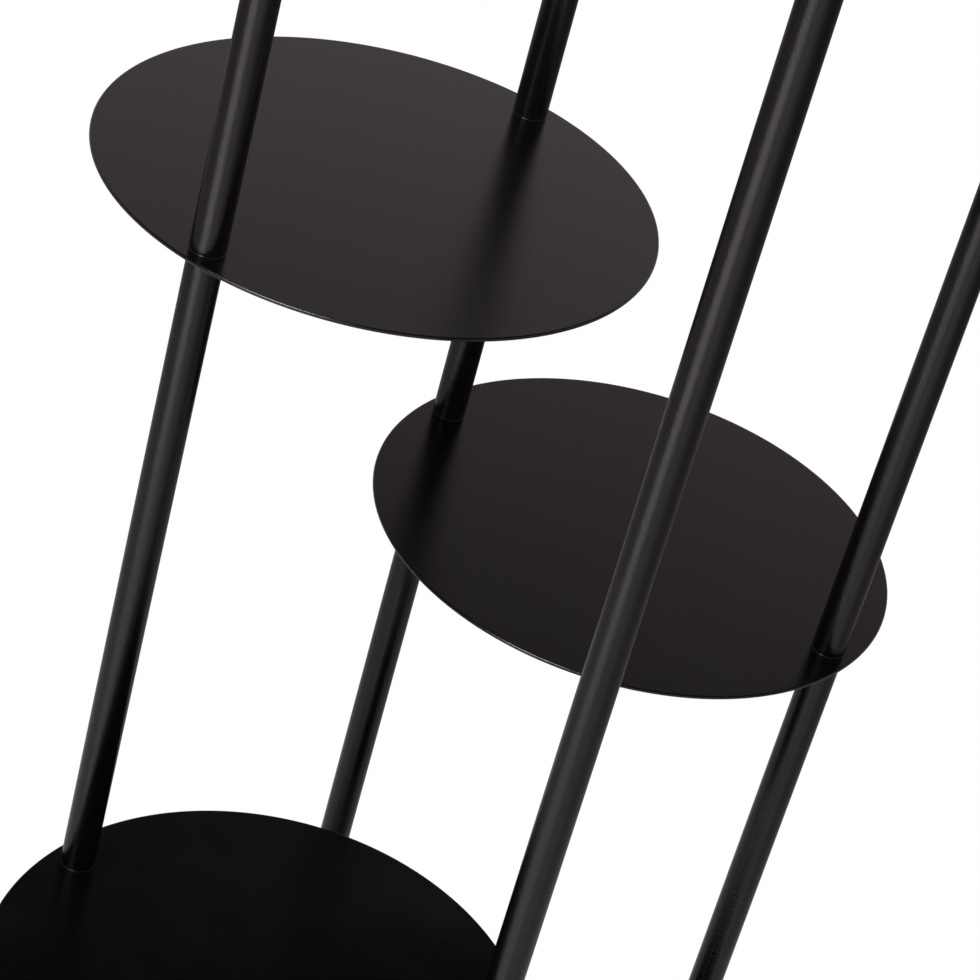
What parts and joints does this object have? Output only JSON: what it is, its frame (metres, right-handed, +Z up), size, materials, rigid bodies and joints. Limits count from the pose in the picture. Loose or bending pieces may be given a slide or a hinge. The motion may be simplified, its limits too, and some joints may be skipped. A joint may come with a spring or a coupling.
{
  "type": "tiered plant stand",
  "caption": "Free-standing plant stand: black upright tubes at the corners of a square hold thin round shelf plates at staggered heights, clamped between tube sections.",
  "frame": {"origin": "on the floor at the centre of the square that the four posts stand on", "axes": "+Z up; -Y is the front, where the second shelf from the floor stands out; +X is the right, where the lowest shelf stands out; the highest shelf stands out to -X"},
  "size_m": [0.57, 0.57, 1.2],
  "materials": {
    "black_powder_coat": "satin black powder coat on steel",
    "zinc_steel": "bright zinc-plated turned steel",
    "black_plastic": "matt moulded black plastic"
  },
  "bodies": {
    "root": {"back_left_cap": "black_plastic", "back_left_foot": "black_plastic", "back_left_lower_top_plug": "zinc_steel", "back_left_lower_tube": "black_powder_coat", "back_left_middle_bottom_plug": "zinc_steel", "back_left_middle_top_plug": "zinc_steel", "back_left_middle_tube": "black_powder_coat", "back_left_upper_bottom_plug": "zinc_steel", "back_left_upper_tube": "black_powder_coat", "back_right_cap": "black_plastic", "back_right_foot": "black_plastic", "back_right_lower_top_plug": "zinc_steel", "back_right_lower_tube": "black_powder_coat", "back_right_middle_bottom_plug": "zinc_steel", "back_right_middle_top_plug": "zinc_steel", "back_right_middle_tube": "black_powder_coat", "back_right_upper_bottom_plug": "zinc_steel", "back_right_upper_tube": "black_powder_coat", "back_shelf": "black_powder_coat", "clamp_washers": "black_plastic", "front_left_cap": "black_plastic", "front_left_foot": "black_plastic", "front_left_lower_top_plug": "zinc_steel", "front_left_lower_tube": "black_powder_coat", "front_left_middle_bottom_plug": "zinc_steel", "front_left_middle_top_plug": "zinc_steel", "front_left_middle_tube": "black_powder_coat", "front_left_upper_bottom_plug": "zinc_steel", "front_left_upper_tube": "black_powder_coat", "front_right_cap": "black_plastic", "front_right_foot": "black_plastic", "front_right_lower_top_plug": "zinc_steel", "front_right_lower_tube": "black_powder_coat", "front_right_middle_bottom_plug": "zinc_steel", "front_right_middle_top_plug": "zinc_steel", "front_right_middle_tube": "black_powder_coat", "front_right_upper_bottom_plug": "zinc_steel", "front_right_upper_tube": "black_powder_coat", "front_shelf": "black_powder_coat", "joining_studs": "zinc_steel", "left_shelf": "black_powder_coat", "right_shelf": "black_powder_coat"}
  },
  "joints": []
}
